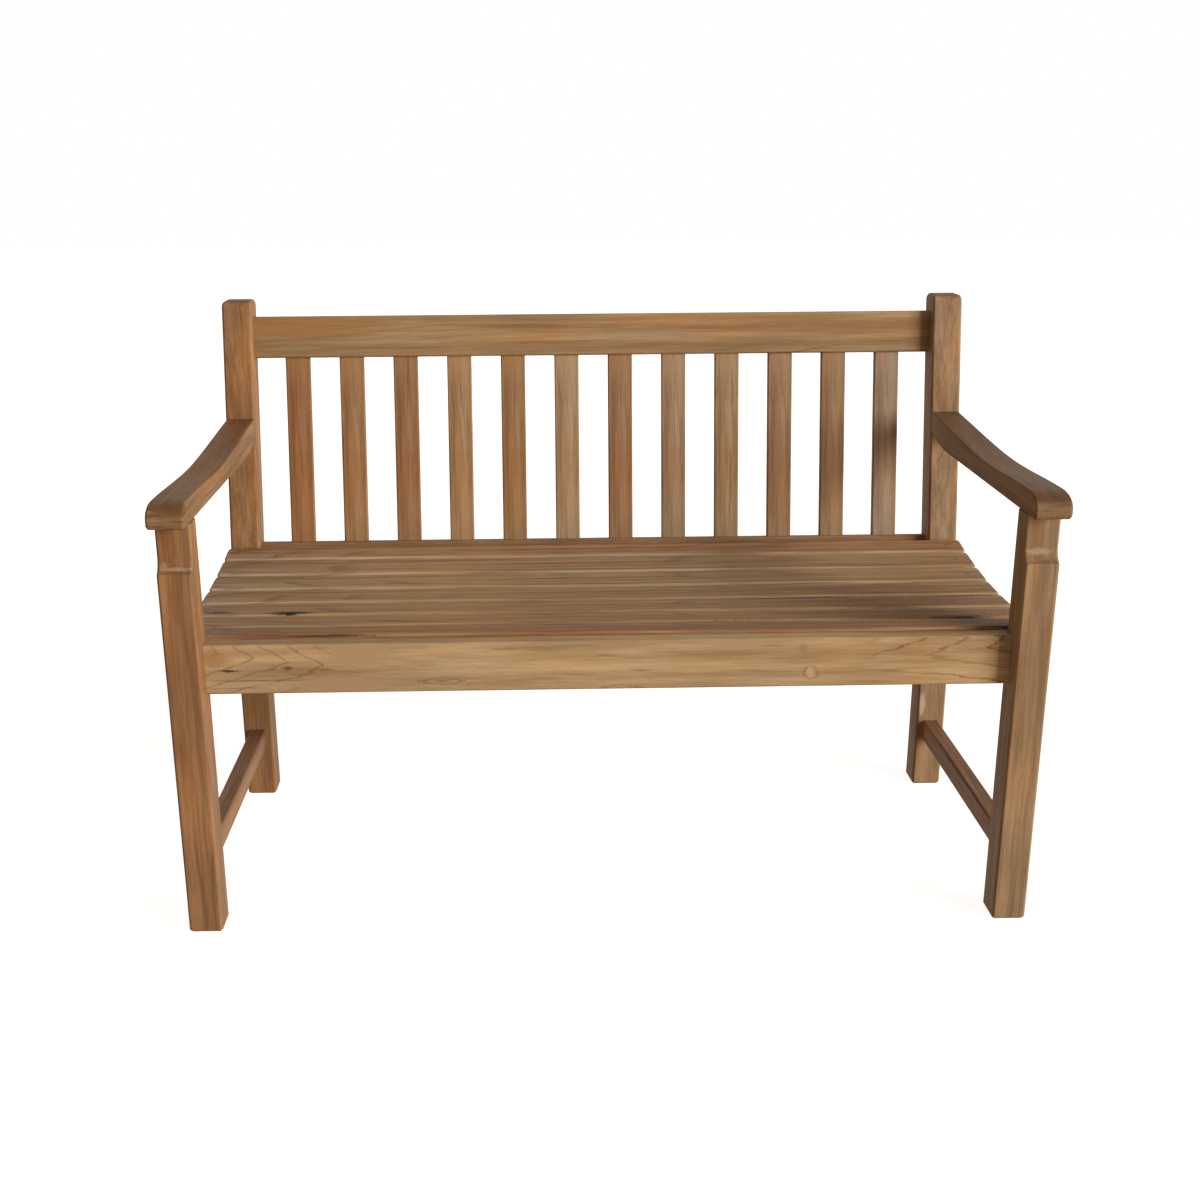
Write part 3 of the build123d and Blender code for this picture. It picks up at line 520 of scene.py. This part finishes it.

# Seat slats of teak, planed and rounded over, laid across the dished rails with gaps for the rain.
# They have gone greyer than the rest, with splits that opened as they dried, and the front one keeps
# a reddish band. Near their right ends the first four carry a painted shadow of the right arm and
# front leg, and the gap behind the third has painted shade.
slat_marks = {
    1: (
        ((-489, -246, 453), (150, 5, 4), 3, 0, 0.65, "#753722"),
        ((-405, -246, 453), (90, 5, 3), 3, 0, 0.75, "#3E2012"),
        ((-45, -247, 453), (110, 6, 3), 3, 0, 0.6, "#A4532F"),
        # Painted shadow of the right arm and front leg, darkest where the slat meets the leg
        ((565, -214, 450), (80, 28, 9), 3, 0, 0.7, "#3A1A08"),
        ((592, -238, 454), (60, 14, 6), 0, 0, 0.85, "#1E0E06"),
        ((540, -190, 449), (38, 7, 8), 2, 0, 1.0, "#2A1006"),
    ),
    2: (
        # Painted shadow of the right arm and front leg, in the first four marks
        ((535, -176, 446), (60, 12, 9), 4, 0, 0.75, "#3A1A08"),
        ((540, -181, 443), (40, 7, 10), 2, 0, 1.0, "#2A1006"),
        ((500, -160, 446), (120, 40, 20), 7, 0, 0.4, "#3E2208"),
        ((430, -150, 446), (180, 45, 20), 9, 0, 0.35, "#3E2208"),
        ((167, -178, 448), (4, 9, 9), 0, 0, 0.3, "#4A3526"),
        ((195, -178, 448), (4, 9, 9), 0, 0, 0.35, "#4A3526"),
        ((216, -178, 448), (4, 9, 9), 0, 0, 0.3, "#4A3526"),
    ),
    3: (
        ((-485, -108, 444), (50, 8, 9), 2, 0, 1.0, "#120A05"),
        ((-600, -102, 444), (34, 8, 9), 3, 0, 0.8, "#2A1A0D"),
        # Painted shadow of the right arm and front leg
        ((460, -88, 444), (180, 40, 20), 9, 0, 0.5, "#3E2208"),
        # Painted shade in the gap between this slat and the next one back
        ((317, -60, 443), (170, 7, 7), 3, 0, 0.95, "#1C110A"),
        ((563, -60, 443), (90, 7, 7), 3, 0, 0.95, "#1C110A"),
    ),
    4: (
        # Painted shadow of the right arm and front leg
        ((450, -22, 444), (160, 36, 20), 9, 0, 0.35, "#3E2208"),
    ),
    6: (
        ((270, 137, 458), (9, 7, 9), 2, 0, 0.5, "#5A4030"),
    ),
}

# Each slat's own wood, and the tint of its top
slat_looks = (
    ("#986F4A", (1.0, 1.06, 0.97, 1.0)),
    ("#B79A7B", (0.77, 0.64, 0.45, 1.0)),
    ("#B79A7B", (0.78, 0.65, 0.47, 1.0)),
    ("#B79A7B", (0.77, 0.66, 0.49, 1.0)),
    ("#B79A7B", (0.80, 0.72, 0.56, 1.0)),
    ("#B79A7B", (0.77, 0.66, 0.52, 1.0)),
    ("#B7987A", (0.75, 0.59, 0.42, 1.0)),
)
for index, (wood, top) in enumerate(slat_looks):
    name = f"seat_slat_{index + 1:02}"
    heart = (0, 14 - 9 * (index % 4), -60 - 15 * (index % 3))
    dress(name, teak(name, GRAIN_ALONG_X, marks=slat_marks.get(index + 1, ()), heart=heart,
                     lean=(0, 0.003 * index, 0.05), stretch=2.4, ring=8.0 + 2 * (index % 3), late=0.65,
                     figure=0.7, streak=3.6, hue=1.4, bloom=0.15, wood=wood, top=top))

# Side stretchers, slim teak bars, tenoned low into a front leg and its post in the middle of their
# width. The right one has a long split beside its top edge.
long_split = ((599, -60, 127), (3, 190, 4), 4, 0, 0.7, "#35210F")
for name, marks in (("left_side_stretcher", ()), ("right_side_stretcher", (long_split,))):
    dress(name, teak(name, GRAIN_ALONG_Y, marks=marks, heart=(0, 50, -40), ring=7.0, streak=1.3,
                     wood="#8F6643"))

# Armrests, each cut from one thick block of teak, scooped on top and rolled over at the nose, where
# the end grain shows dark and open.
nose_marks = {
    "left": (
        ((-598, -314, 663), (60, 18, 16), 6, 0, 0.6, "#5E3F22"),
        ((-631, -322, 660), (14, 9, 3), 8, 0, 0.4, "#B08C62"),
        ((-628, -322, 649), (16, 9, 2), 8, 0, 0.4, "#B08C62"),
        ((-626, -321, 655), (18, 9, 2), 6, 0, 0.5, "#3E2616"),
        ((-592, -321, 646), (26, 9, 1.8), 6, 0, 0.5, "#4E321C"),
        ((-622, -321, 640), (18, 9, 1.6), 6, 0, 0.5, "#4E321C"),
    ),
    "right": (
        ((606, -314, 665), (70, 16, 10), 6, 0, 0.6, "#573826"),
        ((620, -321, 654), (26, 9, 3), 6, 0, 0.45, "#4A2C1C"),
        ((600, -321, 648), (22, 9, 1.6), 6, 0, 0.4, "#573826"),
    ),
}
arm_looks = (
    ("left", "#8C6641", (0.74, 0.64, 0.44, 1.0)),
    ("right", "#82603F", (0.66, 0.62, 0.52, 1.0)),
)
for side, wood, top in arm_looks:
    name = side + "_armrest"
    dress(name, teak(name, GRAIN_ALONG_Y, marks=nose_marks[side], heart=(0, 24, -66), lean=(0, 0, 0.06),
                     ring=8.0, late=0.7, figure=0.35, streak=1.0, hue=1.4, bloom=0.1, wood=wood, top=top,
                     end=(0.95, 0.95, 0.95, 1.0)))

# Pegs of straight-grained teak, driven through the tenons and pared flush, and the seat plugs,
# cut from the slats' own wood and glued in over the screws. Each is round, with a soft edge.
PEG_SIZES = {"Sides": 24, "Radius": 4.05 * MM, "Depth": 40 * MM, "Rise": 0.3 * MM}
PLUG_SIZES = {"Sides": 24, "Radius": 5.05 * MM, "Depth": 7 * MM, "Rise": 0.2 * MM}

# A packed pin's ends are its faces with more corners than its walls have, once its triangles are one
MERGED_WITHIN = 0.01 * MM
FLAT_WITHIN = radians(1)
WALL_CORNERS = 4
FACES_THAT_WAY = 0.5


def round_pins():
    """Sets a round pin with a softly domed end on each point, along its facing."""
    tree = bpy.data.node_groups.new("round_pins", "GeometryNodeTree")
    for name, kind in (("Ends", "Geometry"), ("Sides", "Int"), ("Radius", "Float"), ("Depth", "Float"),
                       ("Rise", "Float"), ("Finish", "Material")):
        tree.interface.new_socket(name, in_out="INPUT", socket_type="NodeSocket" + kind)
    tree.interface.new_socket("Pins", in_out="OUTPUT", socket_type="NodeSocketGeometry")
    given = add_node(tree, "NodeGroupInput").outputs
    pin = add_node(tree, "GeometryNodeMeshCylinder", {
        "Vertices": given["Sides"], "Radius": given["Radius"], "Depth": given["Depth"]})
    mesh, top = pin.outputs["Mesh"], pin.outputs["Top"]

    # The end rises in two steps, each smaller than the one below
    for shrink in (0.9, 0.6):
        raised = add_node(tree, "GeometryNodeExtrudeMesh",
                          {"Mesh": mesh, "Selection": top, "Offset Scale": given["Rise"]})
        mesh, top = raised.outputs["Mesh"], raised.outputs["Top"]
        mesh = add_node(tree, "GeometryNodeScaleElements",
                        {"Geometry": mesh, "Selection": top, "Scale": shrink})
        mesh = mesh.outputs["Geometry"]

    # The pin is sunk by its depth, so its soft end is flush, and drawn to the length of its hole
    sunk = add_node(tree, "ShaderNodeMath", (given["Depth"], -0.5), operation="MULTIPLY")
    sunk = add_node(tree, "ShaderNodeMath", (sunk, given["Rise"]), operation="SUBTRACT")
    sunk = add_node(tree, "ShaderNodeCombineXYZ", (0.0, 0.0, sunk))
    pin = add_node(tree, "GeometryNodeTransform", {"Geometry": mesh, "Translation": sunk})
    facing = add_node(tree, "GeometryNodeInputNamedAttribute", {"Name": "facing"},
                      data_type="FLOAT_VECTOR")
    turned = add_node(tree, "FunctionNodeAlignRotationToVector", {"Vector": facing}, axis="Z")
    length = add_node(tree, "GeometryNodeInputNamedAttribute", {"Name": "length"}, data_type="FLOAT")
    length = add_node(tree, "ShaderNodeMath", (length, given["Depth"]), operation="DIVIDE")
    length = add_node(tree, "ShaderNodeCombineXYZ", (1.0, 1.0, length))
    pins = add_node(tree, "GeometryNodeInstanceOnPoints", {
        "Points": given["Ends"], "Instance": pin, "Rotation": turned, "Scale": length})
    pins = add_node(tree, "GeometryNodeRealizeInstances", {"Geometry": pins})
    pins = add_node(tree, "GeometryNodeSetMaterial", {"Geometry": pins, "Material": given["Finish"]})
    add_node(tree, "NodeGroupOutput", {"Pins": pins})
    return tree


pin_tree = round_pins()


def set_pins(name, out, sizes, material):
    """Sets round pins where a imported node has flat-sided ones, on their ends that face one way."""
    shape = bmesh.new()
    shape.from_mesh(nodes[name].data)
    bmesh.ops.remove_doubles(shape, verts=shape.verts, dist=MERGED_WITHIN)
    bmesh.ops.dissolve_limit(shape, angle_limit=FLAT_WITHIN, verts=shape.verts, edges=shape.edges)
    ends = [(face.calc_center_median(), face.normal.copy())
            for face in shape.faces if len(face.verts) > WALL_CORNERS]
    shape.free()
    shown = [(spot, facing) for spot, facing in ends if facing.dot(out(spot)) > FACES_THAT_WAY]
    hidden = [spot for spot, facing in ends if facing.dot(out(spot)) < -FACES_THAT_WAY]
    points = bpy.data.meshes.new(name + "_ends")
    points.from_pydata([spot for spot, facing in shown], [], [])
    points.attributes.new("facing", "FLOAT_VECTOR", "POINT")
    points.attributes.new("length", "FLOAT", "POINT")
    for index, (spot, facing) in enumerate(shown):
        foot = min(hidden, key=lambda other: (other - spot).cross(facing).length)
        points.attributes["facing"].data[index].vector = facing
        points.attributes["length"].data[index].value = (foot - spot).length
    maker = bpy.data.objects.new(name + "_maker", points)
    bpy.context.scene.collection.objects.link(maker)
    modifier = maker.modifiers.new("pins", "NODES")
    modifier.node_group = pin_tree
    for item in pin_tree.interface.items_tree:
        if item.name in sizes:
            modifier[item.identifier] = sizes[item.name]
        elif item.name == "Finish":
            modifier[item.identifier] = material
    graph = bpy.context.evaluated_depsgraph_get()
    mesh = bpy.data.meshes.new_from_object(maker.evaluated_get(graph))
    maker.modifiers.remove(modifier)
    bpy.data.objects.remove(maker)
    piece = bpy.data.objects.new("round_" + name, mesh)
    bpy.context.scene.collection.objects.link(piece)
    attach(piece, "root")
    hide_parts(name)


for name in ("left_side_pegs", "right_side_pegs"):
    set_pins(name, lambda spot: Vector((spot.x, 0, 0)).normalized(), PEG_SIZES,
             teak(name, GRAIN_ALONG_X, wood="#7E5A3A"))
for name in ("back_rail_pegs", "apron_pegs"):
    set_pins(name, lambda spot: Vector((0, 1, 0)), PEG_SIZES, teak(name, GRAIN_ALONG_Y, wood="#7E5A3A"))
set_pins("seat_plugs", lambda spot: Vector((0, 0, 1)), PLUG_SIZES,
         teak("seat_plugs", GRAIN_ALONG_X, stretch=2.4, bloom=0.15, wood="#B79A7B",
              top=(0.72, 0.58, 0.43, 1.0)))

# Seat screws, three to a slat: one at each end and one in the middle, out of sight under the plugs.
# They are of plain stainless steel, turned and bright, with fine scratches that blur the shine.
steel = bpy.data.materials.new("turned_stainless_steel")
steel.use_nodes = True
tree = steel.node_tree
tree.nodes.clear()
scratches_to_a_metre = 900.0
least_blur, scratch_blur = 0.2, 0.25
spot = add_node(tree, "ShaderNodeTexCoord").outputs["Object"]
scratch = add_node(tree, "ShaderNodeTexNoise",
                   {"Vector": spot, "Scale": scratches_to_a_metre, "Detail": 2.0})
rough = add_node(tree, "ShaderNodeMath", (scratch, scratch_blur, least_blur), operation="MULTIPLY_ADD")
shader = add_node(tree, "ShaderNodeBsdfPrincipled",
                  {"Base Color": linear("#C9C8C4"), "Metallic": 1.0, "Roughness": rough})
add_node(tree, "ShaderNodeOutputMaterial", {"Surface": shader})
dress("seat_screws", steel)

# Floor, a plain sheet of pale matt paper, wide enough to have no end. It takes the shadow of the
# bench and shows white to the camera and in what mirrors it.
half_width = 15.0
near, far = 1.0, 3.0
near_glow, far_glow = 0.9, 1.0
floor_mesh = bpy.data.meshes.new("floor")
corners = [(-half_width, -half_width, 0), (half_width, -half_width, 0),
           (half_width, half_width, 0), (-half_width, half_width, 0)]
floor_mesh.from_pydata(corners, [], [(0, 1, 2, 3)])
floor = bpy.data.objects.new("floor", floor_mesh)
bpy.context.scene.collection.objects.link(floor)
paper = bpy.data.materials.new("matt_white_paper")
paper.use_nodes = True
tree = paper.node_tree
tree.nodes.clear()
ray = add_node(tree, "ShaderNodeLightPath").outputs
seen = add_node(tree, "ShaderNodeMath", (ray["Is Camera Ray"], ray["Is Glossy Ray"]), operation="ADD")
seen = add_node(tree, "ShaderNodeMath", (seen, ray["Is Transmission Ray"]), operation="ADD",
                use_clamp=True)
spot = add_node(tree, "ShaderNodeTexCoord").outputs["Object"]
away = add_node(tree, "ShaderNodeVectorMath", (spot,), operation="LENGTH")
glow = add_node(tree, "ShaderNodeMapRange", {
    "Value": away, "From Min": near, "From Max": far, "To Min": near_glow, "To Max": far_glow,
}, interpolation_type="SMOOTHSTEP")
glow = add_node(tree, "ShaderNodeMath", (seen, glow), operation="MULTIPLY")
matt = add_node(tree, "ShaderNodeBsdfDiffuse", {"Color": linear("#C6B9A6")})
lit = add_node(tree, "ShaderNodeEmission", {"Color": linear("#FFFFFF"), "Strength": glow})
both = add_node(tree, "ShaderNodeAddShader", (matt, lit))
add_node(tree, "ShaderNodeOutputMaterial", {"Surface": both})
floor_mesh.materials.append(paper)

# Light: a wide soft box, a little cool, low and well round to the right, as the photograph was lit,
# and an even, dim and slightly warm surround. The surround shows white to the camera.
world = bpy.data.worlds.new("studio")
bpy.context.scene.world = world
world.use_nodes = True
tree = world.node_tree
tree.nodes.clear()
ray = add_node(tree, "ShaderNodeLightPath").outputs
seen = add_node(tree, "ShaderNodeMath", (ray["Is Camera Ray"], ray["Is Glossy Ray"]), operation="ADD")
seen = add_node(tree, "ShaderNodeMath", (seen, ray["Is Transmission Ray"]), operation="ADD",
                use_clamp=True)
even = add_node(tree, "ShaderNodeBackground", {"Color": linear("#FFF0E1"), "Strength": 0.26})
white = add_node(tree, "ShaderNodeBackground", {"Color": linear("#FFFFFF"), "Strength": 1.0})
shown = add_node(tree, "ShaderNodeMixShader", (seen, even, white))
add_node(tree, "ShaderNodeOutputWorld", {"Surface": shown})
over_seat = Vector((0, 0, 0.5))
box_place = Vector((10.9, -8.0, 3.6))
lamp = bpy.data.lights.new("right_soft_box", "AREA")
lamp.size = 7.0
lamp.color = (0.91, 0.945, 0.97)
lamp.energy = 2610
stand = bpy.data.objects.new("right_soft_box", lamp)
stand.location = box_place
stand.rotation_euler = (over_seat - box_place).to_track_quat("-Z", "Y").to_euler()
bpy.context.scene.collection.objects.link(stand)

# Camera, a little left of the middle and looking down on the seat, as the photograph was taken. Its
# place and angles come from the photograph's edges of the bench.
leg_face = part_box("left_front_leg")[0].y
yaw, pitch, roll = 0.0181, 0.3080, -0.0072
to_left, to_front, height = 0.10641, 1.96342, 1.14574
forward = Vector((sin(yaw) * cos(pitch), cos(yaw) * cos(pitch), -sin(pitch)))
level = Vector((cos(yaw), -sin(yaw), 0))
upward = level.cross(forward)
right = level * cos(roll) + upward * sin(roll)
up = upward * cos(roll) - level * sin(roll)
lens = bpy.data.cameras.new("camera")
lens.sensor_width = 36.0
lens.lens = 43.81
lens.shift_x = 0.0331
camera = bpy.data.objects.new("camera", lens)
turn = Matrix((right, up, -forward)).transposed().to_4x4()
camera.matrix_world = Matrix.Translation((-to_left, leg_face - to_front, height)) @ turn
bpy.context.scene.collection.objects.link(camera)
bpy.context.scene.camera = camera
bpy.context.scene.view_settings.view_transform = "Standard"
